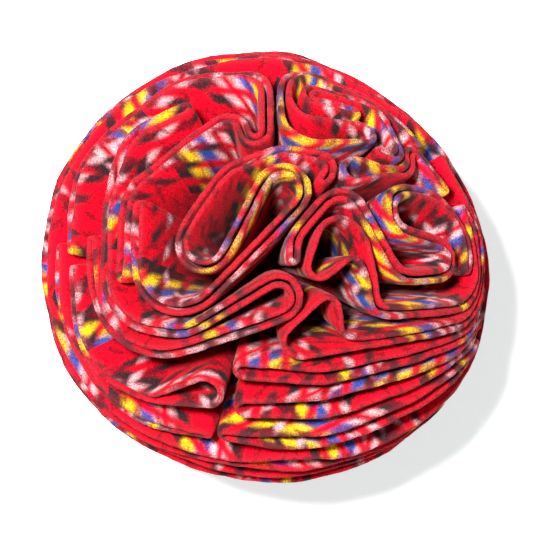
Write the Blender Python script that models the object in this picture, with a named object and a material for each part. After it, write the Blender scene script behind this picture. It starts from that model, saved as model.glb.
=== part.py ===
"""Dog snuffle ball: fleece discs bunched on one middle tie so that their rims ruffle over a sphere.

Every disc is one closed body, but for the longest, which is two that meet at a slit.  A disc is
pinned by its middle, so each line of cloth from the middle to the rim is straight and the disc is a
cone over a closed rim curve.  The rim curves are laid out on a surface map: x and y are millimetres walked over the ball from the crown (x to the right, y to the
back), so a fold keeps its true size wherever it lies.
Metres, +Z up, crown of the ball up, the flat spot it rests on at the origin.
"""

import math

import bmesh
import bpy
import numpy as np

MM = 0.001

# ---------------------------------------------------------------- driving sizes, millimetres
BALL_RADIUS = 80.0
HUB_RADIUS = 28.0
MIDDLE_RADIUS = 27.5
RIM_THICKNESS = 2.6
HUB_THICKNESS = 0.72
FLAT_SPOT_DEPTH = 2.6
RIM_SMOOTHING = 2.0
CHORD_ERROR_TOP = 0.11
CHORD_ERROR_UNDER = 0.17
LONGEST_EDGE = 16.0
WALK_STEP = 0.5
UNDER_TURN_DEG = -90.0
SLIT = 0.8

# ---------------------------------------------------------------- the folds of each disc
# spine rows: x, y, fold radius, turn (+1 left, -1 right), half the distance between the two layers.
# A disc folded in two runs as a double layer along its spine; the first and last rows are its ends.
# loop rows (x, y, fold radius, turn): there the two layers part and the single rim goes round a pocket.
DISCS = {
    "hook_and_swirl": dict(spine=[
        (21.4, 32.6, 0.0, 0, 1.5),
        (20.3, 37.6, 4.6, 1, 1.5),
        (8.0, 31.0, 13.0, 1, 1.5),
        (-6.0, 25.0, 14.0, 1, 1.5),
        (-22.8, 8.6, 9.0, 1, 1.5),
        (6.4, 28.6, 8.2, -1, 1.5),
        (-33.0, 1.2, 17.2, -1, 1.5),
        (-50.0, 24.0, 0.0, 0, 1.5)]),
    "long_loop": dict(spine=[
        (-34.5, 65.5, 0.0, 0, 2.4),
        (-48.0, 46.0, 12.0, 1, 2.4),
        (-44.0, 22.0, 19.5, 1, 1.6),
        (-44.0, -4.0, 19.5, 1, 1.5),
        (-33.5, -9.8, 14.5, 1, 1.5),
        (4.6, -11.2, 6.6, -1, 1.5),
        (-42.0, -4.5, 28.5, -1, 1.5),
        (-70.8, 10.0, 0.0, 0, 1.5)]),
    "broad_petal": dict(spine=[
        (-56.8, -4.0, 0.0, 0, 1.5),
        (-42.0, 22.0, 14.5, -1, 1.5),
        (-15.0, 53.5, 6.0, -1, 1.5),
        (-4.3, 52.5, 4.3, 1, 1.5),
        (-12.0, 76.0, 12.0, 1, 1.5),
        (-30.0, 60.0, 27.0, 1, 1.6),
        (-58.0, 36.0, 27.0, 1, 1.6),
        (-84.0, 8.0, 0.0, 0, 1.5)]),
    "arch_and_teardrop": dict(spine=[
        (10.2, 3.0, 0.0, 0, 1.5),
        (17.4, 8.0, 7.4, -1, 1.5),
        (28.3, 19.0, 8.6, -1, 1.5),
        (59.3, 9.0, 13.5, 1, 1.5),
        (74.0, 3.0, 6.8, 1, 1.5),
        (58.5, 22.5, 9.5, -1, 1.5),
        (70.0, 8.0, 24.0, -1, 1.5),
        (94.0, -1.0, 0.0, 0, 1.5)]),
    "round_pocket": dict(
        spine=[
            (39.8, -6.0, 0.0, 0, 1.5),
            (47.3, -10.5, 7.3, 1, 1.5),
            (84.0, 0.0, 17.5, 1, 1.5),
            (99.0, 28.0, 0.0, 0, 1.5)],
        loop=[
            (32.0, -1.2, 4.4, 1),
            (19.5, 0.1, 4.5, -1),
            (26.8, 9.9, 8.2, -1),
            (29.5, 7.5, 8.4, -1)]),
    "low_pocket": dict(
        spine=[
            (36.0, -29.0, 0.0, 0, 1.5),
            (84.0, 0.0, 25.0, 1, 1.5),
            (80.0, 16.0, 29.0, 1, 1.5),
            (94.0, 56.0, 0.0, 0, 1.5)],
        loop=[
            (12.6, -27.4, 6.4, -1),
            (22.4, -15.8, 4.6, -1),
            (33.0, -21.8, 5.2, 1)]),
    "first_band": dict(spine=[
        (-9.0, -39.5, 0.0, 0, 2.8),
        (22.0, -20.0, 22.0, 1, 2.6),
        (84.0, 0.0, 33.0, 1, 1.5),
        (114.5, -14.0, 0.0, 0, 1.5)]),
    "second_band": dict(spine=[
        (-8.5, -56.0, 0.0, 0, 3.2),
        (22.0, -25.0, 31.5, 1, 4.6),
        (84.0, 0.0, 41.0, 1, 1.5),
        (114.0, -30.0, 0.0, 0, 1.5)]),
    "third_band": dict(spine=[
        (-17.0, -72.0, 0.0, 0, 2.5),
        (22.0, -34.0, 40.0, 1, 4.0),
        (112.0, -42.0, 0.0, 0, 1.5)]),
    "corner_pocket": dict(
        spine=[
            (-47.0, -55.0, 0.0, 0, 1.5),
            (-52.0, -22.0, 30.0, -1, 1.5),
            (-82.0, -2.0, 0.0, 0, 1.5)],
        loop=[
            (-24.0, -49.5, 6.5, -1)]),
    "corner_hem": dict(spine=[
        (-27.0, -75.0, 0.0, 0, 1.5),
        (-45.0, -40.0, 33.5, -1, 1.8),
        (-57.0, -14.0, 38.0, -1, 1.5),
        (-95.0, 8.0, 0.0, 0, 1.5)]),
    "far_petal": dict(
        spine=[
            (7.8, 72.0, 0.0, 0, 1.5),
            (22.0, 78.0, 14.0, -1, 1.5),
            (36.0, 46.0, 39.0, -1, 1.5),
            (73.0, 60.0, 0.0, 0, 1.5)],
        loop=[
            (20.6, 70.0, 10.2, 1),
            (41.0, 57.0, 5.6, -1),
            (19.6, 61.5, 13.2, -1)]),
    "far_curl": dict(spine=[
        (40.0, 69.0, 0.0, 0, 1.5),
        (21.5, 74.6, 4.4, -1, 1.5),
        (44.0, 66.0, 11.0, -1, 1.5),
        (53.0, 51.0, 5.0, -1, 1.5),
        (47.0, 47.5, 0.0, 0, 1.5)]),
    "small_fold": dict(
        spine=[
            (47.0, 38.5, 0.0, 0, 1.5),
            (56.0, 47.5, 8.0, 1, 1.5),
            (69.0, 50.0, 4.2, -1, 1.5),
            (85.0, 37.0, 0.0, 0, 1.5)],
        loop=[
            (34.4, 37.6, 4.8, -1)]),
}

# How far the crown group reaches over the ball: bearing in degrees from +X, millimetres from the crown.
GROUP_EDGE = [
    (0.0, 122.0),
    (30.0, 117.0),
    (50.0, 108.0),
    (90.0, 101.0),
    (135.0, 104.0),
    (180.0, 105.0),
    (225.0, 101.0),
    (270.0, 88.0),
    (315.0, 104.0),
    (338.0, 127.0)]
COLLAR_COUNT = 5

# The longest disc is two bodies that meet at a slit across both of its layers: the name of each body,
# and the map places where the slit crosses the outer and the inner layer.
SLIT_DISC = "hook_and_swirl"
SLIT_BODIES = ("hook", "swirl")
SLIT_PLACES = ((15.6, 26.7), (11.9, 26.5))

# The ball is not quite round: bearing in degrees, radius in millimetres near its widest belt.
BELT_RADIUS = [
    (0.0, 80.0),
    (30.0, 76.5),
    (60.0, 75.5),
    (90.0, 78.0),
    (120.0, 80.0),
    (160.0, 82.0),
    (210.0, 81.5),
    (250.0, 77.0),
    (290.0, 79.0),
    (330.0, 82.0)]

RED = (0.72, 0.012, 0.03, 1.0)
DARK_RED = (0.25, 0.004, 0.01, 1.0)


# ---------------------------------------------------------------- lines on the surface map
def unit_rows(rows):
    return rows / np.linalg.norm(rows, axis=1)[:, None]


def tangent_between(first, second):
    """Direction of the taut line from one fold circle to the next, and where it touches both."""
    across = np.array([second[0] - first[0], second[1] - first[1]])
    distance = np.hypot(across[0], across[1])
    across = across / distance
    lean = math.asin((first[3] * first[2] - second[3] * second[2]) / distance)
    direction = np.array([
        across[0] * math.cos(lean) - across[1] * math.sin(lean),
        across[0] * math.sin(lean) + across[1] * math.cos(lean)])
    left = np.array([-direction[1], direction[0]])
    leave = np.array(first[:2]) - first[3] * first[2] * left
    arrive = np.array(second[:2]) - second[3] * second[2] * left
    return math.atan2(direction[1], direction[0]), leave, arrive


def add_straight(points, gaps, target, gap):
    start = points[-1]
    start_gap = gaps[-1]
    length = np.hypot(target[0] - start[0], target[1] - start[1])
    count = max(1, int(length / WALK_STEP))
    for index in range(1, count + 1):
        part = index / count
        ease = 0.5 - 0.5 * math.cos(math.pi * part)
        points.append(start + (target - start) * part)
        gaps.append(start_gap + (gap - start_gap) * ease)


def taut_line(rows):
    """Walk a taut line round the fold circles; returns map points and the half gap at each."""
    touches = [tangent_between(rows[index], rows[index + 1]) for index in range(len(rows) - 1)]
    points = [np.array(rows[0][:2], dtype=float)]
    gaps = [rows[0][4]]
    for index in range(1, len(rows) - 1):
        centre_x, centre_y, radius, turn, gap = rows[index]
        heading_in, _, arrive = touches[index - 1]
        heading_out = touches[index][0]
        add_straight(points, gaps, arrive, gap)
        sweep = (turn * (heading_out - heading_in)) % (2.0 * math.pi)
        if sweep > 1.7 * math.pi:
            sweep -= 2.0 * math.pi
        count = max(1, int(abs(sweep) * radius / WALK_STEP))
        centre = np.array([centre_x, centre_y])
        spoke = arrive - centre
        for step in range(1, count + 1):
            angle = turn * sweep * step / count
            turned = np.array([
                spoke[0] * math.cos(angle) - spoke[1] * math.sin(angle),
                spoke[0] * math.sin(angle) + spoke[1] * math.cos(angle)])
            points.append(centre + turned)
            gaps.append(gap)
    add_straight(points, gaps, np.array(rows[-1][:2], dtype=float), rows[-1][4])
    return np.array(points), np.array(gaps)


def even_steps(points, step, closed):
    """Same line with points one step apart."""
    line = np.vstack([points, points[:1]]) if closed else points
    walked = np.concatenate([[0.0], np.cumsum(np.linalg.norm(np.diff(line, axis=0), axis=1))])
    count = max(8, int(round(walked[-1] / step)))
    stations = np.linspace(0.0, walked[-1], count + 1)
    if closed:
        stations = stations[:-1]
    return np.stack([np.interp(stations, walked, line[:, axis]) for axis in range(line.shape[1])], axis=1)


def softened(points, spread, closed):
    """Round off the small corners of an evenly stepped line."""
    reach = int(4 * spread) + 1
    weights = np.exp(-0.5 * (np.arange(-reach, reach + 1) / spread) ** 2)
    weights = weights / weights.sum()
    if closed:
        padded = np.vstack([points[-reach:], points, points[:reach]])
    else:
        before = 2.0 * points[0] - points[1:reach + 1][::-1]
        after = 2.0 * points[-1] - points[-reach - 1:-1][::-1]
        padded = np.vstack([before, points, after])
    columns = [np.convolve(padded[:, axis], weights, "valid") for axis in range(points.shape[1])]
    return np.stack(columns, axis=1)


# ---------------------------------------------------------------- from the map to the ball
def on_ball(flat):
    """Map points to unit directions from the ball's middle."""
    walked = np.hypot(flat[:, 0], flat[:, 1])
    angle = walked / BALL_RADIUS
    scale = np.where(walked > 1e-9, np.sin(angle) / np.maximum(walked, 1e-9), 1.0 / BALL_RADIUS)
    return np.stack([flat[:, 0] * scale, flat[:, 1] * scale, np.cos(angle)], axis=1)


def on_map(direction):
    angle = math.acos(max(-1.0, min(1.0, direction[2])))
    bearing = math.atan2(direction[1], direction[0])
    return BALL_RADIUS * angle * math.cos(bearing), BALL_RADIUS * angle * math.sin(bearing)


def end_cap(middle, ahead, left, half_gap):
    """Half circle that joins the left layer to the right layer round the end of a spine."""
    reach = half_gap / BALL_RADIUS
    count = max(6, int(math.pi * half_gap / WALK_STEP))
    rows = []
    for index in range(1, count):
        angle = 0.5 * math.pi - math.pi * index / count
        outward = ahead * math.cos(angle) + left * math.sin(angle)
        rows.append(middle * math.cos(reach) + outward * math.sin(reach))
    return np.array(rows)


def rim_curve(spine, loop=None):
    """Closed rim of one folded disc, as evenly stepped unit directions."""
    flat, gaps = taut_line(spine)
    walked = even_steps(np.column_stack([flat, gaps]), WALK_STEP, False)
    walked = softened(walked, 2.0 * RIM_SMOOTHING, False)
    middle = on_ball(walked[:, :2])
    ahead = unit_rows(np.gradient(middle, axis=0))
    left = np.cross(middle, ahead)
    reach = (walked[:, 2] / BALL_RADIUS)[:, None]
    left_layer = middle * np.cos(reach) + left * np.sin(reach)
    right_layer = middle * np.cos(reach) - left * np.sin(reach)
    far_cap = end_cap(middle[-1], ahead[-1], left[-1], walked[-1, 2])
    if loop is None:
        near_part = end_cap(middle[0], -ahead[0], -left[0], walked[0, 2])
    else:
        first = on_map(right_layer[0])
        last = on_map(left_layer[0])
        rows = [(first[0], first[1], 0.0, 0, 0.0)]
        rows += [(row[0], row[1], row[2], row[3], 0.0) for row in loop]
        rows += [(last[0], last[1], 0.0, 0, 0.0)]
        near_part = on_ball(taut_line(rows)[0][1:-1])
    curve = np.vstack([left_layer, far_cap, right_layer[::-1], near_part])
    curve = even_steps(curve * BALL_RADIUS, WALK_STEP, True)
    return unit_rows(softened(curve, RIM_SMOOTHING, True))


def around(table, bearing_deg):
    """Smooth value at a bearing from rows of (bearing, value) that go once round."""
    bearings = [row[0] for row in table]
    values = [row[1] for row in table]
    bearings = [bearings[-1] - 360.0] + bearings + [bearings[0] + 360.0]
    values = [values[-1]] + values + [values[0]]
    wrapped = np.mod(bearing_deg, 360.0)
    index = np.clip(np.searchsorted(bearings, wrapped, side="right") - 1, 0, len(bearings) - 2)
    low = np.array(bearings)[index]
    high = np.array(bearings)[index + 1]
    part = (wrapped - low) / (high - low)
    ease = part * part * (3.0 - 2.0 * part)
    return np.array(values)[index] * (1.0 - ease) + np.array(values)[index + 1] * ease


def turned_under(curve):
    """The same rim on the underside: rolled over about X, then turned about Z."""
    rolled = np.stack([curve[:, 0], -curve[:, 1], -curve[:, 2]], axis=1)
    turn = math.radians(UNDER_TURN_DEG)
    x_axis = rolled[:, 0] * math.cos(turn) - rolled[:, 1] * math.sin(turn)
    y_axis = rolled[:, 0] * math.sin(turn) + rolled[:, 1] * math.cos(turn)
    return np.stack([x_axis, y_axis, rolled[:, 2]], axis=1)


def collar_curve(part):
    """Rim of a nearly flat disc between the crown group (part 0) and the underside group (part 1)."""
    bearing = np.arange(0.0, 360.0, 0.25)
    upper = around(GROUP_EDGE, bearing)
    # the underside group is rolled about X and turned about Z, so a bearing b on top lies at turn - b
    lower = math.pi * BALL_RADIUS - around(GROUP_EDGE, UNDER_TURN_DEG - bearing)
    walked = upper + (lower - upper) * part
    walked = walked + 1.3 * np.sin(np.radians(7.0 * bearing + 150.0 * part)) * (0.3 + part * (1.0 - part))
    flat = np.stack([walked * np.cos(np.radians(bearing)), walked * np.sin(np.radians(bearing))], axis=1)
    curve = even_steps(on_ball(flat) * BALL_RADIUS, WALK_STEP, True)
    return unit_rows(softened(curve, 9.0, True))


# ---------------------------------------------------------------- bodies
def kept_stations(curve, chord_error, closed):
    """Indices of the fewest points that follow the curve to within the chord error."""
    points = curve * BALL_RADIUS
    if closed:
        points = np.vstack([points, points[:1]])
    last = len(points) - 1
    kept = [0]
    start = 0
    while start < last:
        stop = start + 2
        while stop <= last:
            chord = points[stop] - points[start]
            length = np.linalg.norm(chord)
            if length > LONGEST_EDGE:
                break
            between = points[start + 1:stop] - points[start]
            along = between @ chord / length ** 2
            error = np.linalg.norm(between - along[:, None] * chord, axis=1).max()
            if error > chord_error:
                break
            stop += 1
        start = stop - 1
        if start < last:
            kept.append(start)
    if last - kept[-1] < 2:
        kept.pop()
    if not closed:
        kept.append(last)
    return np.array(kept)


def slit_spans(curve):
    """Rim stations of the two bodies of a slit disc, from one layer's end of the slit to the other's."""
    ends = [int(np.argmax(curve @ on_ball(np.array([place]))[0])) for place in SLIT_PLACES]
    return (ends[0], ends[1]), (ends[1], ends[0] + len(curve))


def outer_radius(directions):
    """Radius of the ball in a direction: round at the crown, a little uneven round the belt."""
    bearing = np.degrees(np.arctan2(directions[:, 1], directions[:, 0]))
    belt = around(BELT_RADIUS, bearing)
    share = np.clip((1.0 - directions[:, 2] ** 2 - 0.35) / 0.5, 0.0, 1.0)
    return BALL_RADIUS + (belt - BALL_RADIUS) * share * share * (3.0 - 2.0 * share)


def disc_body(name, curve, lift, chord_error, collection, span=None):
    """Solid disc, or the span of one beside a slit: cloth from the hub to the rim, cut flat at the base."""
    ahead = unit_rows(np.roll(curve, -1, axis=0) - np.roll(curve, 1, axis=0))
    left = unit_rows(np.cross(curve, ahead))
    closed = span is None
    if not closed:
        stations = np.arange(span[0], span[1] + 1) % len(curve)
        curve = curve[stations]
        left = left[stations]
        back = 0.5 * SLIT / WALK_STEP
        curve[0] += (curve[1] - curve[0]) * back
        curve[-1] += (curve[-2] - curve[-1]) * back
    kept = kept_stations(curve, chord_error, closed)
    base = BALL_RADIUS - FLAT_SPOT_DEPTH
    mesh = bmesh.new()
    rings = []
    for radius, thickness in ((None, RIM_THICKNESS), (HUB_RADIUS, HUB_THICKNESS)):
        for side in (1.0, -1.0):
            size = outer_radius(curve[kept]) + lift if radius is None else np.full(len(kept), radius)
            offset = side * 0.5 * thickness / size
            spot = unit_rows(curve[kept] + left[kept] * offset[:, None])
            if radius is None:
                floor = np.where(spot[:, 2] < -1e-6, base / np.maximum(-spot[:, 2], 1e-6), 1e9)
                size = np.minimum(size, floor)
            spot = spot * size[:, None]
            rings.append([mesh.verts.new((row[0] * MM, row[1] * MM, (row[2] + base) * MM)) for row in spot])
    rim_left, rim_right, hub_left, hub_right = rings
    stations = len(kept)
    for index in range(stations if closed else stations - 1):
        after = (index + 1) % stations
        for first, second in ((rim_left, rim_right), (rim_right, hub_right),
                              (hub_right, hub_left), (hub_left, rim_left)):
            mesh.faces.new((first[index], first[after], second[after], second[index]))
    if not closed:
        for index in (0, stations - 1):
            mesh.faces.new((rim_left[index], rim_right[index], hub_right[index], hub_left[index]))
    bmesh.ops.triangulate(mesh, faces=mesh.faces[:])
    bmesh.ops.recalc_face_normals(mesh, faces=mesh.faces[:])
    data = bpy.data.meshes.new(name)
    mesh.to_mesh(data)
    mesh.free()
    return finished_body(name, data, RED, collection)


def finished_body(name, data, colour, collection):
    body = bpy.data.objects.new(name, data)
    collection.objects.link(body)
    material = bpy.data.materials.new(name + "_fleece")
    material.use_nodes = True
    shader = material.node_tree.nodes["Principled BSDF"]
    shader.inputs["Base Color"].default_value = colour
    shader.inputs["Roughness"].default_value = 0.9
    data.materials.append(material)
    return body


def tied_middle(collection):
    """The middles of all the discs, drawn tight together by the tie: the dark bottom of every pocket."""
    mesh = bmesh.new()
    bmesh.ops.create_icosphere(mesh, subdivisions=3, radius=MIDDLE_RADIUS * MM)
    height = (BALL_RADIUS - FLAT_SPOT_DEPTH) * MM
    bmesh.ops.translate(mesh, verts=mesh.verts[:], vec=(0.0, 0.0, height))
    data = bpy.data.meshes.new("tied_middle")
    mesh.to_mesh(data)
    mesh.free()
    return finished_body("tied_middle", data, DARK_RED, collection)


def stand_on_origin(bodies):
    """Move the whole ball so that the middle of its footprint is over the origin."""
    corners = np.array([vertex.co[:] for body in bodies for vertex in body.data.vertices])
    shift = -0.5 * (corners.min(axis=0) + corners.max(axis=0))
    for body in bodies:
        for vertex in body.data.vertices:
            vertex.co.x += shift[0]
            vertex.co.y += shift[1]


def build():
    for old in list(bpy.data.objects):
        bpy.data.objects.remove(old, do_unlink=True)
    collection = bpy.data.collections.new("dog_snuffle_ball")
    bpy.context.scene.collection.children.link(collection)
    bodies = [tied_middle(collection)]
    for index, (name, folds) in enumerate(DISCS.items()):
        curve = rim_curve(**folds)
        lift = 0.6 * math.sin(1.7 * index)
        bodies_of_disc = [(name, None)]
        if name == SLIT_DISC:
            bodies_of_disc = list(zip(SLIT_BODIES, slit_spans(curve)))
        for part, span in bodies_of_disc:
            bodies.append(disc_body("top_" + part, curve, lift, CHORD_ERROR_TOP, collection, span))
            under = turned_under(curve)
            bodies.append(disc_body("under_" + part, under, lift, CHORD_ERROR_UNDER, collection, span))
    for index in range(COLLAR_COUNT):
        curve = collar_curve(index / (COLLAR_COUNT - 1))
        lift = 0.5 * math.cos(2.0 * index)
        bodies.append(disc_body("collar_" + str(index + 1), curve, lift, CHORD_ERROR_TOP, collection))
    stand_on_origin(bodies)


build()
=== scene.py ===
# %% [markdown]
# # A snuffle ball for a dog, in tartan fleece
# The toy is a stack of round fleece discs, all tied through their middles. The tie draws the middles
# into a knot and the rims crowd out over a ball, so they ruffle into deep pockets where treats hide.
# This lesson loads the measured model as a frame, then makes every disc again as soft cloth on the
# same folds. Everything is in metres, with the crown of the ball up and its flat spot at z = 0.

# %% Load the frame
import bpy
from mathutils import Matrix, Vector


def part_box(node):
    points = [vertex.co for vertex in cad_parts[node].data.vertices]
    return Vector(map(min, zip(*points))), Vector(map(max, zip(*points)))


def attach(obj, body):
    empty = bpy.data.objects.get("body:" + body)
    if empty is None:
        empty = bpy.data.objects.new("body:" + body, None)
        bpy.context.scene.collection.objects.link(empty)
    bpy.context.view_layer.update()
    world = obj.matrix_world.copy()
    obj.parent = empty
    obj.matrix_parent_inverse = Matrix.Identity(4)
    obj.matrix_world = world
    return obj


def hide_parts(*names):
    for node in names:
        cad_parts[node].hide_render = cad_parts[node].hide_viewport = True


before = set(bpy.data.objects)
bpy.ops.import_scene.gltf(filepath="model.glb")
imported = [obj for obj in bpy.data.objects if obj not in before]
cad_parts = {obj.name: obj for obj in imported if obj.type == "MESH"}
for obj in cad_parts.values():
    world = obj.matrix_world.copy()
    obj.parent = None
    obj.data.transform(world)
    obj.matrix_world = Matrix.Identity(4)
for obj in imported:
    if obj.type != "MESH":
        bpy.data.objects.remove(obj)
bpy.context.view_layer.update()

# %% [markdown]
# ## Tools and measures
# The scene is made with Blender's own Python. Lengths along the cloth are kept in millimetres, as a
# maker would cut them, and become metres only when a point is placed.

# %% The other tools of this lesson
import math

import bmesh
import bpy
import numpy as np
from mathutils import Vector, kdtree

MM = 0.001
low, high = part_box("tied_middle")
BALL_MIDDLE = (low + high) / 2
print("middle of the ball, mm:", [round(value * 1000, 2) for value in BALL_MIDDLE])

# %% [markdown]
# ## Helpers for the scene
# A thing in Blender is an object that shows its data: a mesh, a lamp or a camera. These helpers put
# one in the scene and set the values of a material's nodes by name.

# %% Put things in the scene
def put_in_scene(name, data):
    made = bpy.data.objects.new(name, data)
    bpy.context.scene.collection.objects.link(made)
    return made


def mesh_object(name, mesh):
    """A finished bmesh as an object in the scene."""
    data = bpy.data.meshes.new(name)
    mesh.to_mesh(data)
    mesh.free()
    return put_in_scene(name, data)


def set_values(node, values):
    for socket, value in values.items():
        node.inputs[socket].default_value = value


print("helpers ready: put_in_scene, mesh_object, set_values")

# %% [markdown]
# ## The camera
# The ball is looked at from straight above with a very long lens, so that the rims at its edge are
# seen edge-on. The lens and the width of the view say how high the camera has to stand.

# %% Set up the camera
LENS_MM = 900.0
SENSOR_MM = 36.0
VIEW_WIDTH = 0.1929
VIEW_MIDDLE = (0.0005, 0.0002)

camera_data = bpy.data.cameras.new("camera")
camera_data.lens = LENS_MM
camera_data.sensor_width = SENSOR_MM
camera = put_in_scene("camera", camera_data)
camera.location = (VIEW_MIDDLE[0], VIEW_MIDDLE[1], BALL_MIDDLE[2] + VIEW_WIDTH * LENS_MM / SENSOR_MM)
bpy.context.scene.camera = camera
print("camera height, m:", round(camera.location.z, 3))

# %% [markdown]
# ## The floor and the light
# A soft lamp stands a little to the upper left, near the camera's own line, so the shadow on the
# floor is short. A weak lamp opposite it and the pale room keep the red faces bright and the bottoms
# of the pockets dark. The floor glows a little, as white card does in a studio.

# %% Floor, lamps and room
FLOOR_HALF_WIDTH = 3.0
LAMP_AIM = Vector((0.0, 0.0, 0.05))
KEY_SIZE = 0.5
KEY_POWER = 246.0
FILL_SIZE = 1.5
FILL_POWER = 8.0
ROOM_LIGHT = 0.23
FLOOR_GLOW = 0.56


def lamp(name, place, size, power):
    """A round soft lamp that looks at the ball."""
    data = bpy.data.lights.new(name, "AREA")
    data.shape = "DISK"
    data.size = size
    data.energy = power
    made = put_in_scene(name, data)
    made.location = place
    made.rotation_euler = (LAMP_AIM - Vector(place)).to_track_quat("-Z", "Y").to_euler()
    print(name, "stands", round((LAMP_AIM - Vector(place)).length, 2), "m off")


mesh = bmesh.new()
bmesh.ops.create_grid(mesh, x_segments=1, y_segments=1, size=FLOOR_HALF_WIDTH)
floor = mesh_object("floor", mesh)
floor_paint = bpy.data.materials.new("pale_floor")
floor_paint.use_nodes = True
set_values(floor_paint.node_tree.nodes["Principled BSDF"], {
    "Base Color": (0.93, 0.93, 0.93, 1.0),
    "Roughness": 0.9,
    "Specular IOR Level": 0.1,
    "Emission Color": (0.87, 1.0, 1.0, 1.0),
    "Emission Strength": FLOOR_GLOW})
floor.data.materials.append(floor_paint)

lamp("key_lamp", (-0.52, 0.42, 2.85), KEY_SIZE, KEY_POWER)
lamp("fill_lamp", (1.5, -1.0, 3.0), FILL_SIZE, FILL_POWER)
world = bpy.data.worlds.new("pale_room")
world.use_nodes = True
set_values(world.node_tree.nodes["Background"], {"Color": (1.0, 1.0, 1.0, 1.0), "Strength": ROOM_LIGHT})
bpy.context.scene.world = world
bpy.context.scene.view_settings.view_transform = "Standard"

# %% [markdown]
# ## The folds of each disc
# A disc is held by its middle, so each line of cloth from the middle to the rim is nearly straight,
# and the rim alone says how the whole disc is folded. The rims are laid out like a string pulled
# taut round pegs, on a flat map of the ball: x and y are millimetres walked from the crown. Every row
# is a peg with its place, its radius, the side it is passed on and half the gap between two layers.
# The spine is the line between a disc's two layers; a loop, where there is one, is its open end.

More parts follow.
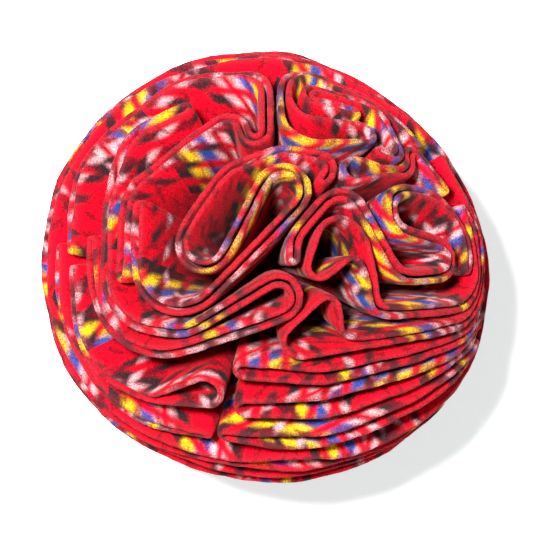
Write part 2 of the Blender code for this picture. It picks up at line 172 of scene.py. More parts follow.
# %% The pegs
BALL_RADIUS = 80.0
HUB_RADIUS = 28.0
FLAT_SPOT_DEPTH = 2.6
RIM_SMOOTHING = 2.0
COLLAR_SMOOTHING = 9.0
WALK_STEP = 0.5
UNDER_TURN_DEG = -90.0
DISCS = {
    "hook_and_swirl": dict(spine=[
        (21.4, 32.6, 0.0, 0, 1.5),
        (20.3, 37.6, 4.6, 1, 1.5),
        (8.0, 31.0, 13.0, 1, 1.5),
        (-6.0, 25.0, 14.0, 1, 1.5),
        (-22.8, 8.6, 9.0, 1, 1.5),
        (6.4, 28.6, 8.2, -1, 1.5),
        (-33.0, 1.2, 17.2, -1, 1.5),
        (-50.0, 24.0, 0.0, 0, 1.5)]),
    "long_loop": dict(spine=[
        (-34.5, 65.5, 0.0, 0, 2.4),
        (-48.0, 46.0, 12.0, 1, 2.4),
        (-44.0, 22.0, 19.5, 1, 1.6),
        (-44.0, -4.0, 19.5, 1, 1.5),
        (-33.5, -9.8, 14.5, 1, 1.5),
        (4.6, -11.2, 6.6, -1, 1.5),
        (-42.0, -4.5, 28.5, -1, 1.5),
        (-70.8, 10.0, 0.0, 0, 1.5)]),
    "broad_petal": dict(spine=[
        (-56.8, -4.0, 0.0, 0, 1.5),
        (-42.0, 22.0, 14.5, -1, 1.5),
        (-15.0, 53.5, 6.0, -1, 1.5),
        (-4.3, 52.5, 4.3, 1, 1.5),
        (-12.0, 76.0, 12.0, 1, 1.5),
        (-30.0, 60.0, 27.0, 1, 1.6),
        (-58.0, 36.0, 27.0, 1, 1.6),
        (-84.0, 8.0, 0.0, 0, 1.5)]),
    "arch_and_teardrop": dict(spine=[
        (10.2, 3.0, 0.0, 0, 1.5),
        (17.4, 8.0, 7.4, -1, 1.5),
        (28.3, 19.0, 8.6, -1, 1.5),
        (59.3, 9.0, 13.5, 1, 1.5),
        (74.0, 3.0, 6.8, 1, 1.5),
        (58.5, 22.5, 9.5, -1, 1.5),
        (70.0, 8.0, 24.0, -1, 1.5),
        (94.0, -1.0, 0.0, 0, 1.5)]),
    "round_pocket": dict(
        spine=[
            (39.8, -6.0, 0.0, 0, 1.5),
            (47.3, -10.5, 7.3, 1, 1.5),
            (84.0, 0.0, 17.5, 1, 1.5),
            (99.0, 28.0, 0.0, 0, 1.5)],
        loop=[
            (32.0, -1.2, 4.4, 1),
            (19.5, 0.1, 4.5, -1),
            (26.8, 9.9, 8.2, -1),
            (29.5, 7.5, 8.4, -1)]),
    "low_pocket": dict(
        spine=[
            (36.0, -29.0, 0.0, 0, 1.5),
            (84.0, 0.0, 25.0, 1, 1.5),
            (80.0, 16.0, 29.0, 1, 1.5),
            (94.0, 56.0, 0.0, 0, 1.5)],
        loop=[
            (12.6, -27.4, 6.4, -1),
            (22.4, -15.8, 4.6, -1),
            (33.0, -21.8, 5.2, 1)]),
    "first_band": dict(spine=[
        (-9.0, -39.5, 0.0, 0, 2.8),
        (22.0, -20.0, 22.0, 1, 2.6),
        (84.0, 0.0, 33.0, 1, 1.5),
        (114.5, -14.0, 0.0, 0, 1.5)]),
    "second_band": dict(spine=[
        (-8.5, -56.0, 0.0, 0, 3.2),
        (22.0, -25.0, 31.5, 1, 4.6),
        (84.0, 0.0, 41.0, 1, 1.5),
        (114.0, -30.0, 0.0, 0, 1.5)]),
    "third_band": dict(spine=[
        (-17.0, -72.0, 0.0, 0, 2.5),
        (22.0, -34.0, 40.0, 1, 4.0),
        (112.0, -42.0, 0.0, 0, 1.5)]),
    "corner_pocket": dict(
        spine=[
            (-47.0, -55.0, 0.0, 0, 1.5),
            (-52.0, -22.0, 30.0, -1, 1.5),
            (-82.0, -2.0, 0.0, 0, 1.5)],
        loop=[
            (-24.0, -49.5, 6.5, -1)]),
    "corner_hem": dict(spine=[
        (-27.0, -75.0, 0.0, 0, 1.5),
        (-45.0, -40.0, 33.5, -1, 1.8),
        (-57.0, -14.0, 38.0, -1, 1.5),
        (-95.0, 8.0, 0.0, 0, 1.5)]),
    "far_petal": dict(
        spine=[
            (7.8, 72.0, 0.0, 0, 1.5),
            (22.0, 78.0, 14.0, -1, 1.5),
            (36.0, 46.0, 39.0, -1, 1.5),
            (73.0, 60.0, 0.0, 0, 1.5)],
        loop=[
            (20.6, 70.0, 10.2, 1),
            (41.0, 57.0, 5.6, -1),
            (19.6, 61.5, 13.2, -1)]),
    "far_curl": dict(spine=[
        (40.0, 69.0, 0.0, 0, 1.5),
        (21.5, 74.6, 4.4, -1, 1.5),
        (44.0, 66.0, 11.0, -1, 1.5),
        (53.0, 51.0, 5.0, -1, 1.5),
        (47.0, 47.5, 0.0, 0, 1.5)]),
    "small_fold": dict(
        spine=[
            (47.0, 38.5, 0.0, 0, 1.5),
            (56.0, 47.5, 8.0, 1, 1.5),
            (69.0, 50.0, 4.2, -1, 1.5),
            (85.0, 37.0, 0.0, 0, 1.5)],
        loop=[
            (34.4, 37.6, 4.8, -1)]),
}

print(len(DISCS), "discs round the crown")

# %% [markdown]
# ## The edge of the crown group
# The discs round the crown reach unevenly far over the ball, and the belt fills the band that is left
# between them and the underside. The ball itself is not quite round. Both are told by a few bearings.

# %% Edge of the crown group and girth of the ball
# Bearing in degrees from +X, millimetres walked from the crown.
GROUP_EDGE = [
    (0.0, 122.0),
    (30.0, 117.0),
    (50.0, 108.0),
    (90.0, 101.0),
    (135.0, 104.0),
    (180.0, 105.0),
    (225.0, 101.0),
    (270.0, 88.0),
    (315.0, 104.0),
    (338.0, 127.0)]
COLLAR_COUNT = 5

# The solid of the longest disc is in two bodies, and the one cloth made here stands for both.
SLIT_DISC = "hook_and_swirl"
SLIT_BODIES = ("hook", "swirl")

# Bearing in degrees from +X, radius in millimetres at the widest part.
BELT_RADIUS = [
    (0.0, 80.0),
    (30.0, 76.5),
    (60.0, 75.5),
    (90.0, 78.0),
    (120.0, 80.0),
    (160.0, 82.0),
    (210.0, 81.5),
    (250.0, 77.0),
    (290.0, 79.0),
    (330.0, 82.0)]
print("radius of the belt, mm:", min(row[1] for row in BELT_RADIUS), "to", max(row[1] for row in BELT_RADIUS))

# %% [markdown]
# ## From pegs to rims
# These helpers walk the taut line round the pegs in even steps and soften its corners. The rim could
# also be drawn by hand as a curve, but pegs keep each fold at a size that can be read and changed.

# %% Walk a taut line
NEARLY_FULL_TURN = 1.7 * math.pi


def unit_rows(rows):
    """Each row brought to length one."""
    return rows / np.linalg.norm(rows, axis=1)[:, None]


def tangent_between(first, second):
    """Direction of the taut line from one fold circle to the next, and where it touches both."""
    across = np.array([second[0] - first[0], second[1] - first[1]])
    distance = np.hypot(across[0], across[1])
    across = across / distance
    lean = math.asin((first[3] * first[2] - second[3] * second[2]) / distance)
    direction = np.array([
        across[0] * math.cos(lean) - across[1] * math.sin(lean),
        across[0] * math.sin(lean) + across[1] * math.cos(lean)])
    left = np.array([-direction[1], direction[0]])
    leave = np.array(first[:2]) - first[3] * first[2] * left
    arrive = np.array(second[:2]) - second[3] * second[2] * left
    return math.atan2(direction[1], direction[0]), leave, arrive


def add_straight(points, gaps, target, gap):
    """Walk straight on to the target while the gap between the layers eases to its new value."""
    start = points[-1]
    start_gap = gaps[-1]
    length = np.hypot(target[0] - start[0], target[1] - start[1])
    count = max(1, int(length / WALK_STEP))
    for index in range(1, count + 1):
        part = index / count
        ease = 0.5 - 0.5 * math.cos(math.pi * part)
        points.append(start + (target - start) * part)
        gaps.append(start_gap + (gap - start_gap) * ease)


def taut_line(rows):
    """Walk a taut line round the fold circles; returns map points and the half gap at each."""
    touches = [tangent_between(rows[index], rows[index + 1]) for index in range(len(rows) - 1)]
    points = [np.array(rows[0][:2], dtype=float)]
    gaps = [rows[0][4]]
    for index in range(1, len(rows) - 1):
        centre_x, centre_y, radius, turn, gap = rows[index]
        heading_in, _, arrive = touches[index - 1]
        heading_out = touches[index][0]
        add_straight(points, gaps, arrive, gap)
        sweep = (turn * (heading_out - heading_in)) % (2.0 * math.pi)
        if sweep > NEARLY_FULL_TURN:  # really a small turn back, at a peg that the line hardly touches
            sweep -= 2.0 * math.pi
        count = max(1, int(abs(sweep) * radius / WALK_STEP))
        centre = np.array([centre_x, centre_y])
        spoke = arrive - centre
        for step in range(1, count + 1):
            angle = turn * sweep * step / count
            turned = np.array([
                spoke[0] * math.cos(angle) - spoke[1] * math.sin(angle),
                spoke[0] * math.sin(angle) + spoke[1] * math.cos(angle)])
            points.append(centre + turned)
            gaps.append(gap)
    add_straight(points, gaps, np.array(rows[-1][:2], dtype=float), rows[-1][4])
    return np.array(points), np.array(gaps)


first_line, _ = taut_line(DISCS["first_band"]["spine"])
print("points on the line of the first band:", len(first_line))

# %% [markdown]
# ## Even steps and soft corners
# Cloth has no sharp corners where it passes from one fold to the next. The line is cut into even
# steps, and then each point becomes an average of its neighbours, weighted by a bell curve.

# %% Even out and soften a line
def even_steps(points, step, closed):
    """Same line with points one step apart."""
    line = np.vstack([points, points[:1]]) if closed else points
    walked = np.concatenate([[0.0], np.cumsum(np.linalg.norm(np.diff(line, axis=0), axis=1))])
    count = max(8, int(round(walked[-1] / step)))
    stations = np.linspace(0.0, walked[-1], count + 1)
    if closed:
        stations = stations[:-1]
    return np.stack([np.interp(stations, walked, line[:, axis]) for axis in range(line.shape[1])], axis=1)


def softened(points, spread, closed):
    """Round off the small corners of an evenly stepped line."""
    reach = int(4 * spread) + 1
    weights = np.exp(-0.5 * (np.arange(-reach, reach + 1) / spread) ** 2)
    weights = weights / weights.sum()
    if closed:
        padded = np.vstack([points[-reach:], points, points[:reach]])
    else:
        before = 2.0 * points[0] - points[1:reach + 1][::-1]
        after = 2.0 * points[-1] - points[-reach - 1:-1][::-1]
        padded = np.vstack([before, points, after])
    columns = [np.convolve(padded[:, axis], weights, "valid") for axis in range(points.shape[1])]
    return np.stack(columns, axis=1)


print("rims are walked in steps of", WALK_STEP, "mm")

# %% [markdown]
# ## From the map to the ball
# The flat map is laid over the ball like a cap pressed down on a head: each place keeps its distance
# and bearing from the crown. A folded disc is two layers side by side, so its rim runs up one side of
# the taut line and back down the other, closed by a half circle or by a loop with pegs of its own.

# %% Lay a rim on the ball
def on_ball(flat):
    """Map points to unit directions from the ball's middle."""
    walked = np.hypot(flat[:, 0], flat[:, 1])
    angle = walked / BALL_RADIUS
    scale = np.where(walked > 1e-9, np.sin(angle) / np.maximum(walked, 1e-9), 1.0 / BALL_RADIUS)
    return np.stack([flat[:, 0] * scale, flat[:, 1] * scale, np.cos(angle)], axis=1)


def on_map(direction):
    """Map place of one unit direction."""
    angle = math.acos(max(-1.0, min(1.0, direction[2])))
    bearing = math.atan2(direction[1], direction[0])
    return BALL_RADIUS * angle * math.cos(bearing), BALL_RADIUS * angle * math.sin(bearing)


def end_cap(middle, ahead, left, half_gap):
    """Half circle that joins the left layer to the right layer round the end of a spine."""
    reach = half_gap / BALL_RADIUS
    count = max(6, int(math.pi * half_gap / WALK_STEP))
    rows = []
    for index in range(1, count):
        angle = 0.5 * math.pi - math.pi * index / count
        outward = ahead * math.cos(angle) + left * math.sin(angle)
        rows.append(middle * math.cos(reach) + outward * math.sin(reach))
    return np.array(rows)


def rim_curve(spine, loop=None):
    """Closed rim of one folded disc, as evenly stepped unit directions."""
    flat, gaps = taut_line(spine)
    walked = even_steps(np.column_stack([flat, gaps]), WALK_STEP, False)
    walked = softened(walked, 2.0 * RIM_SMOOTHING, False)
    middle = on_ball(walked[:, :2])
    ahead = unit_rows(np.gradient(middle, axis=0))
    left = np.cross(middle, ahead)
    reach = (walked[:, 2] / BALL_RADIUS)[:, None]
    left_layer = middle * np.cos(reach) + left * np.sin(reach)
    right_layer = middle * np.cos(reach) - left * np.sin(reach)
    far_cap = end_cap(middle[-1], ahead[-1], left[-1], walked[-1, 2])
    if loop is None:
        near_part = end_cap(middle[0], -ahead[0], -left[0], walked[0, 2])
    else:
        first = on_map(right_layer[0])
        last = on_map(left_layer[0])
        rows = [(first[0], first[1], 0.0, 0, 0.0)]
        rows += [(row[0], row[1], row[2], row[3], 0.0) for row in loop]
        rows += [(last[0], last[1], 0.0, 0, 0.0)]
        near_part = on_ball(taut_line(rows)[0][1:-1])
    curve = np.vstack([left_layer, far_cap, right_layer[::-1], near_part])
    curve = even_steps(curve * BALL_RADIUS, WALK_STEP, True)
    return unit_rows(softened(curve, RIM_SMOOTHING, True))


print("the widest fold is in", max(DISCS, key=lambda name: max(row[2] for row in DISCS[name]["spine"])))

# %% [markdown]
# ## The belt and the underside
# Half way down, the discs lie nearly flat, one above the other, and their rims only wave. The
# underside is gathered like the crown, so it has the crown's own rims, rolled over and turned.

# %% Rims of the belt and the underside
BEARING_STEP = 0.25
BELT_WAVES = 7.0
BELT_WAVE_HEIGHT = 1.3


def around(table, bearing_deg):
    """Smooth value at a bearing from rows of (bearing, value) that go once round."""
    bearings = [row[0] for row in table]
    values = [row[1] for row in table]
    bearings = [bearings[-1] - 360.0] + bearings + [bearings[0] + 360.0]
    values = [values[-1]] + values + [values[0]]
    wrapped = np.mod(bearing_deg, 360.0)
    index = np.clip(np.searchsorted(bearings, wrapped, side="right") - 1, 0, len(bearings) - 2)
    before = np.array(bearings)[index]
    after = np.array(bearings)[index + 1]
    part = (wrapped - before) / (after - before)
    ease = part * part * (3.0 - 2.0 * part)
    return np.array(values)[index] * (1.0 - ease) + np.array(values)[index + 1] * ease


def turned_under(curve):
    """The same rim on the underside: rolled over about X, then turned about Z."""
    rolled = np.stack([curve[:, 0], -curve[:, 1], -curve[:, 2]], axis=1)
    turn = math.radians(UNDER_TURN_DEG)
    x_axis = rolled[:, 0] * math.cos(turn) - rolled[:, 1] * math.sin(turn)
    y_axis = rolled[:, 0] * math.sin(turn) + rolled[:, 1] * math.cos(turn)
    return np.stack([x_axis, y_axis, rolled[:, 2]], axis=1)


def collar_curve(part):
    """Rim of a nearly flat disc between the crown group (part 0) and the underside group (part 1)."""
    bearing = np.arange(0.0, 360.0, BEARING_STEP)
    upper = around(GROUP_EDGE, bearing)
    # the underside group is rolled about X and turned about Z, so a bearing b on top lies at turn - b
    lower = math.pi * BALL_RADIUS - around(GROUP_EDGE, UNDER_TURN_DEG - bearing)
    walked = upper + (lower - upper) * part
    wave = BELT_WAVE_HEIGHT * np.sin(np.radians(BELT_WAVES * bearing + 150.0 * part))
    walked = walked + wave * (0.3 + part * (1.0 - part))
    flat = np.stack([walked * np.cos(np.radians(bearing)), walked * np.sin(np.radians(bearing))], axis=1)
    curve = even_steps(on_ball(flat) * BALL_RADIUS, WALK_STEP, True)
    return unit_rows(softened(curve, COLLAR_SMOOTHING, True))


print("rim of the middle belt disc, mm:", round(len(collar_curve(0.5)) * WALK_STEP))

# %% [markdown]
# ## How freely each fold can move
# Real cloth bows sideways where it has room and lies tight where its neighbours press. A search tree
# of all the rims tells, for each point of a rim, how far off the next layer is on either side.

# %% Gather the rims and measure the room beside them
RIM_LIFT = 0.6
COLLAR_LIFT = 0.5
BELT_STARTS = 0.35
BELT_FADES_OVER = 0.5
SIDE_ROOM_SEARCH = 14.0
SAME_LAYER_REACH = 1.2
BESIDE = 0.6

rims = {}
for index, (name, folds) in enumerate(DISCS.items()):
    curve = rim_curve(**folds)
    curve = np.roll(curve, -(len(curve) // 2), axis=0)
    lift = RIM_LIFT * math.sin(1.7 * index)
    rims["top_" + name] = (curve, lift)
    rims["under_" + name] = (turned_under(curve), lift)
for index in range(COLLAR_COUNT):
    curve = collar_curve(index / (COLLAR_COUNT - 1))
    rims["collar_" + str(index + 1)] = (curve, COLLAR_LIFT * math.cos(2.0 * index))


def outer_radius(directions):
    """Radius of the ball in a direction: round at the crown, a little uneven round the belt."""
    bearing = np.degrees(np.arctan2(directions[:, 1], directions[:, 0]))
    belt = around(BELT_RADIUS, bearing)
    share = np.clip((1.0 - directions[:, 2] ** 2 - BELT_STARTS) / BELT_FADES_OVER, 0.0, 1.0)
    return BALL_RADIUS + (belt - BALL_RADIUS) * share * share * (3.0 - 2.0 * share)


rim_points = np.vstack([curve[::3] * BALL_RADIUS for curve, _ in rims.values()])
tree = kdtree.KDTree(len(rim_points))
for index, point in enumerate(rim_points):
    tree.insert(point, index)
tree.balance()


def side_room(points, left):
    """Free distance to the next layer on the left and on the right of each point, in millimetres."""
    room = np.full((len(points), 2), SIDE_ROOM_SEARCH)
    for index, point in enumerate(points):
        for other, _, distance in tree.find_range(point, SIDE_ROOM_SEARCH):
            if distance > SAME_LAYER_REACH:
                side = (np.array(other) - point) @ left[index] / distance
                if side > BESIDE:
                    room[index, 0] = min(room[index, 0], distance)
                elif side < -BESIDE:
                    room[index, 1] = min(room[index, 1], distance)
    return room


print("total rim, m:", round(sum(len(curve) for curve, _ in rims.values()) * WALK_STEP / 1000, 2))

# %% [markdown]
# ## Stations along a rim
# A straight run of rim needs few points and a tight fold needs many. This picks the fewest stations
# that keep the rim within a small error, so the mesh is fine only where the cloth turns.

# %% Choose the stations
CHORD_ERROR_TOP = 0.05
CHORD_ERROR_HIDDEN = 0.1
LONGEST_STEP_TOP = 3.0
LONGEST_STEP_HIDDEN = 5.0


def smooth_round(values, steps):
    """Average of each value with its neighbours on the closed rim."""
    for _ in range(steps):
        values = 0.5 * values + 0.25 * (np.roll(values, 1, axis=0) + np.roll(values, -1, axis=0))
    return values


def kept_stations(curve, chord_error, longest):
    """Indices of the fewest points that follow the curve to within the chord error."""
    points = curve * BALL_RADIUS
    count = len(points)
    kept = [0]
    start = 0
    while start < count:
        stop = start + 2
        while stop <= count:
            chord = points[stop % count] - points[start]
            length = np.linalg.norm(chord)
            if length > longest:
                break
            between = points[start + 1:stop] - points[start]
            along = between @ chord / length ** 2
            if np.linalg.norm(between - along[:, None] * chord, axis=1).max() > chord_error:
                break
            stop += 1
        start = stop - 1
        if start < count:
            kept.append(start)
    if count - kept[-1] < 2:
        kept.pop()
    return np.array(kept)


sample = rims["top_long_loop"][0]
sample_stations = kept_stations(sample, CHORD_ERROR_TOP, LONGEST_STEP_TOP)
print("long loop:", len(sample_stations), "stations from", len(sample), "steps")

# %% [markdown]
# ## The rings of a disc
# The cloth is described by rings, like growth rings, from the rim in to the tied middle. Each station
# runs in nearly straight. On the way it bows towards its freer side and creases a little, and a disc
# of the belt waves, but never further than its neighbours leave room. What would pass below the flat
# spot is pressed level.

# %% Lay the rings of one disc
RIM_THICKNESS = 2.5
HUB_THICKNESS = 0.72
RIM_TO_HUB = BALL_RADIUS - HUB_RADIUS
DEPTHS = (0.0, 0.9, 2.6, 5.5, 9.5, 15.0, 22.0, 30.0, 40.0, RIM_TO_HUB)
# Small ups and downs of the rim: height, millimetres of rim to one radian, how much the disc's own
# seed shifts them.
RIPPLES = [
    (0.22, 5.3, 1.0),
    (0.18, 11.7, 2.0),
    (0.14, 3.1, 3.0)]
ROOM_LIMIT = 5.0
LAYER_GAP = 0.5
BOW_DEPTH = 34.0
BOW_SHARE = 0.2
CREASE_SHARE = 0.14
COLLAR_WAVE = 0.34
USED_ROOM = 0.7
FLOOR_GAP = 0.15
FLOOR_SLOPE = 0.6


def free_room(spot, left):
    """How far the middle of the cloth can move to the left and to the right, in millimetres."""
    room = smooth_round(side_room(spot * BALL_RADIUS, left), 3)
    return np.clip(room - RIM_THICKNESS - LAYER_GAP, 0.0, ROOM_LIMIT).T


def pressed_level(place, radius, depth):
    """Radius that keeps a point above the floor, a little more for each step in from the rim."""
    base = BALL_RADIUS - FLAT_SPOT_DEPTH - FLOOR_GAP
    floor_size = np.where(place[:, 2] < -1e-6, base / np.maximum(-place[:, 2], 1e-6), 1e9)
    return np.minimum(radius, floor_size - depth * FLOOR_SLOPE)


def disc_rings(name, curve, lift, chord_error, longest):
    """Rings of points from the rim to the hub, and how far round the rim each one is."""
    kept = kept_stations(curve, chord_error, longest)
    ahead = unit_rows(np.roll(curve, -1, axis=0) - np.roll(curve, 1, axis=0))[kept]
    spot = curve[kept]
    left = unit_rows(np.cross(spot, ahead))
    walked = kept * WALK_STEP
    seed = sum(ord(letter) for letter in name)
    ripple = sum(height * np.sin(walked / length + share * seed) for height, length, share in RIPPLES)
    size = outer_radius(spot) + lift + ripple
    free_left, free_right = free_room(spot, left)
    tighter = np.minimum(free_left, free_right)
    rings = []
    for depth in DEPTHS:
        part = depth / RIM_TO_HUB
        radius = size + (HUB_RADIUS - size) * part
        bow = math.sin(math.pi * min(1.0, depth / BOW_DEPTH))
        # two runs of small creases that slant opposite ways across the cloth
        crease = (np.sin(walked / 8.3 + seed + depth / 9.0)
                  + 0.6 * np.sin(walked / 4.7 - depth / 6.0 + seed))
        sway = bow * (BOW_SHARE * (free_left - free_right) + CREASE_SHARE * crease * tighter)
        if name.startswith("collar"):
            wave = np.sin(walked / 12.3 + seed) + 0.7 * np.sin(walked / 6.9 + 2.0 * seed)
            sway = sway + COLLAR_WAVE * (1.0 - 0.6 * part) * wave * tighter
        shift = np.clip(sway, -USED_ROOM * free_right, USED_ROOM * free_left) * (radius / BALL_RADIUS)
        place = unit_rows(spot + left * (shift / radius)[:, None])
        rings.append(place * pressed_level(place, radius, depth)[:, None])
    return rings, walked


print("each disc has", len(DEPTHS), "rings over", RIM_TO_HUB, "mm")

# %% [markdown]
# ## The flat disc behind the folds
# The tartan is printed before the cloth is folded, so each point needs its place on the flat disc. It
# is kept as a UV: the turn round the disc comes from the way walked along the rim, and the distance
# from the middle from the ring.

# %% Unfold a disc
CLOTH_SHEET = 0.2
WHOLE_DISC_SHARE = 0.72


def turns_round(curve, walked, towards):
    """Turn round the flat disc for each station, counted from the rim point nearest the given place."""
    rim_length = len(curve) * WALK_STEP
    whole = rim_length > WHOLE_DISC_SHARE * 2.0 * math.pi * BALL_RADIUS
    per_mm = 2.0 * math.pi / rim_length if whole else 1.0 / BALL_RADIUS
    aim = on_ball(np.array([towards], dtype=float))[0]
    nearest = int(np.argmax(curve @ aim)) * WALK_STEP
    return (walked - nearest) * per_mm, (rim_length - nearest) * per_mm


def unfold(mesh, layers, turn, whole_turn, print_place):
    """Keep each corner's place on the flat disc as its UV; the last face runs on past the full turn."""
    station_of, ring_of = layers
    flat_place = mesh.loops.layers.uv.new("flat_cloth")
    for face in mesh.faces:
        numbers = [vert[station_of] for vert in face.verts]
        wraps = max(numbers) == len(turn) - 1 and min(numbers) == 0
        for corner in face.loops:
            number = corner.vert[station_of]
            angle = whole_turn if wraps and number == 0 else turn[number]
            radius = BALL_RADIUS - DEPTHS[corner.vert[ring_of]]
            x_flat = radius * math.cos(angle) + print_place[0]
            y_flat = radius * math.sin(angle) + print_place[1]
            corner[flat_place].uv = (0.5 + x_flat * MM / CLOTH_SHEET, 0.5 + y_flat * MM / CLOTH_SHEET)
        face.smooth = True


print("flat sheet that the print is laid out on, m:", CLOTH_SHEET)

# %% [markdown]
# ## Thick, soft and uneven
# The disc is made as a thin surface first. Live modifiers then do the rest, so each can be tried with
# other values: Solidify gives the fleece its thickness, a subdivision softens it, and a fine
# displacement makes the nap uneven.

# %% Modifiers of the fleece
NAP_SIZE = 2.2
NAP_HEIGHT = 0.5
nap = bpy.data.textures.new("nap", "CLOUDS")
nap.noise_scale = NAP_SIZE * MM
nap.noise_depth = 1


def finish_cloth(made):
    """Thickness, soft edges and nap, as live modifiers."""
    made.vertex_groups.new(name="thickness")
    solid = made.modifiers.new("fleece_thickness", "SOLIDIFY")
    solid.thickness = RIM_THICKNESS * MM
    solid.offset = 0.0
    solid.vertex_group = "thickness"
    soft = made.modifiers.new("soft_edges", "SUBSURF")
    soft.levels = 1
    soft.render_levels = 1
    fuzz = made.modifiers.new("uneven_nap", "DISPLACE")
    fuzz.texture = nap
    fuzz.texture_coords = "LOCAL"
    fuzz.strength = NAP_HEIGHT * MM
    fuzz.mid_level = 0.5


print("nap: lumps of", NAP_SIZE, "mm, raised by", NAP_HEIGHT, "mm")

# %% [markdown]
# ## A disc of cloth
# Each disc starts as a round ring of points, which is laid on its rim. The ring is then extruded
# towards the middle again and again, and each new ring is drawn in along the cloth. Each point keeps
# its share of the thickness, less where the tie squeezes the fleece and at the very edge, which is
# rounded off, how near it is to the cut edge, and how deep in a pocket it lies, which the material
# turns into painted shade.

# %% Make one disc
RIM_ROUNDING = 0.42
ROUNDING_DEPTH = 1.5
CUT_EDGE_DEPTH = 1.4
# Depth from the rim, in mm, at which the painted shade of the pockets reaches its darkest.
PAINTED_SHADE_DEPTH = 26.0


def grow_ring(mesh, ring_edges):
    """Extrude a ring once and give back the new ring's points and edges."""
    grown = bmesh.ops.extrude_edge_only(mesh, edges=ring_edges)["geom"]
    verts = [item for item in grown if isinstance(item, bmesh.types.BMVert)]
    fresh = set(verts)
    edges = [item for item in grown if isinstance(item, bmesh.types.BMEdge)
             and item.verts[0] in fresh and item.verts[1] in fresh]
    return verts, edges


def thickness_at(depth):
    """Thickness of the fleece at a depth from the rim, both in millimetres."""
    thickness = HUB_THICKNESS + (RIM_THICKNESS - HUB_THICKNESS) * (1.0 - depth / RIM_TO_HUB)
    return thickness * (1.0 - RIM_ROUNDING * max(0.0, 1.0 - depth / ROUNDING_DEPTH))


def cloth_disc(name, curve, lift, chord_error, longest, lay):
    """One folded disc of fleece and the length of its rim in millimetres."""
    rings, walked = disc_rings(name, curve, lift, chord_error, longest)
    mesh = bmesh.new()
    station_of = mesh.verts.layers.int.new("station")
    ring_of = mesh.verts.layers.int.new("ring")
    edge_of = mesh.verts.layers.float.new("cut_edge")
    # This layer holds how much painted shade each point gets, more the deeper it lies in a pocket.
    pocket_shade_of = mesh.verts.layers.float.new("painted_pocket_shade")
    weight_of = mesh.verts.layers.deform.verify()
    started = bmesh.ops.create_circle(mesh, cap_ends=False, segments=len(walked), radius=BALL_RADIUS * MM)
    ring_verts = started["verts"]
    for index, vert in enumerate(ring_verts):
        vert[station_of] = index
    ring_edges = mesh.edges[:]
    for number, (depth, ring) in enumerate(zip(DEPTHS, rings)):
        if number:
            ring_verts, ring_edges = grow_ring(mesh, ring_edges)
        for vert in ring_verts:
            vert.co = BALL_MIDDLE + Vector(ring[vert[station_of]] * MM)
            vert[ring_of] = number
            vert[weight_of][0] = thickness_at(depth) / RIM_THICKNESS
            vert[edge_of] = max(0.0, 1.0 - depth / CUT_EDGE_DEPTH)
            # Painted shade: the share grows with depth from the rim and darkens the colour in the pockets.
            vert[pocket_shade_of] = min(1.0, depth / PAINTED_SHADE_DEPTH) ** 1.5
    turn, whole_turn = turns_round(curve, walked, lay[:2])
    unfold(mesh, (station_of, ring_of), turn, whole_turn, lay[2:])
    made = mesh_object(name + "_cloth", mesh)
    finish_cloth(made)
    return made, len(curve) * WALK_STEP


print("fleece thickness at the cut edge, just inside it and at the tie, mm:",
      [round(thickness_at(depth), 2) for depth in (0.0, DEPTHS[2], RIM_TO_HUB)])

# %% [markdown]
# ## The tartan
# The tartan is a traditional kind of check on a red ground, with a sett made up for this lesson: a row
# of stripes, each a width in millimetres and a colour, that repeats across the cloth (the warp) and
# another that repeats along it (the weft). The whites and yellows are dull, as red fibres mix in.

# %% The stripes
RED = (0.57, 0.0016, 0.014)
DEEP_RED = (0.27, 0.0025, 0.010)
DARK = (0.026, 0.012, 0.015)
WHITE = (0.64, 0.33, 0.35)
BLUE = (0.022, 0.060, 0.26)
YELLOW = (0.84, 0.47, 0.008)
WARP = [
    (23.0, RED),
    (6.0, DARK),
    (2.0, WHITE),
    (2.9, RED),
    (2.0, WHITE),
    (6.0, BLUE),
    (5.0, YELLOW),
    (5.1, DARK)]
WEFT = [
    (30.6, RED),
    (6.0, DARK),
    (2.0, WHITE),
    (4.0, DEEP_RED),
    (6.0, DARK),
    (3.4, RED)]
SETT_WIDTH = sum(row[0] for row in WARP)
print("sett repeats every", round(SETT_WIDTH, 1), "mm with", len(WARP), "stripes")

# %% [markdown]
# ## From stripes to a colour ramp
# A colour ramp gives a colour for each value from 0 to 1. Two stops close together make the edge of a
# stripe. The soft part takes less than half of any stripe, so even the thin white lines keep a core.

# %% A ramp of threads
SOFT_EDGE = 1.9
MOST_OF_HALF = 0.48


def add_node(tree, kind, label, **values):
    """A labelled node with its settings."""
    node = tree.nodes.new(kind)
    node.label = label
    for key, value in values.items():
        setattr(node, key, value)
    return node


def thread_ramp(tree, label, position, stripes_row):
    """Colour of the threads at a position that runs from 0 to 1 over one repeat of the sett."""
    ramp = add_node(tree, "ShaderNodeValToRGB", label)
    stripes = ramp.color_ramp
    stripes.elements[0].position = 0.0
    stripes.elements[0].color = stripes_row[0][1] + (1.0,)
    stripes.elements[1].position = 1.0
    stripes.elements[1].color = stripes_row[-1][1] + (1.0,)
    stripes.interpolation = "EASE"
    edge = 0.0
    for (width, colour), (next_width, next_colour) in zip(stripes_row, stripes_row[1:]):
        edge += width
        stops = ((edge - min(SOFT_EDGE, MOST_OF_HALF * width), colour),
                 (edge + min(SOFT_EDGE, MOST_OF_HALF * next_width), next_colour))
        for place, stop_colour in stops:
            stop = stripes.elements.new(min(0.999, place / SETT_WIDTH))
            stop.color = stop_colour + (1.0,)
    tree.links.new(position, ramp.inputs["Fac"])
    return ramp.outputs["Color"]


print("edges of the stripes are blurred over", 2.0 * SOFT_EDGE, "mm")

# %% [markdown]
# ## Small steps of a material
# A material is a chain of nodes. Each of these helpers adds one node, joins its inputs and gives back
# its output, so the fleece below can be read as a list of what happens to its colour.

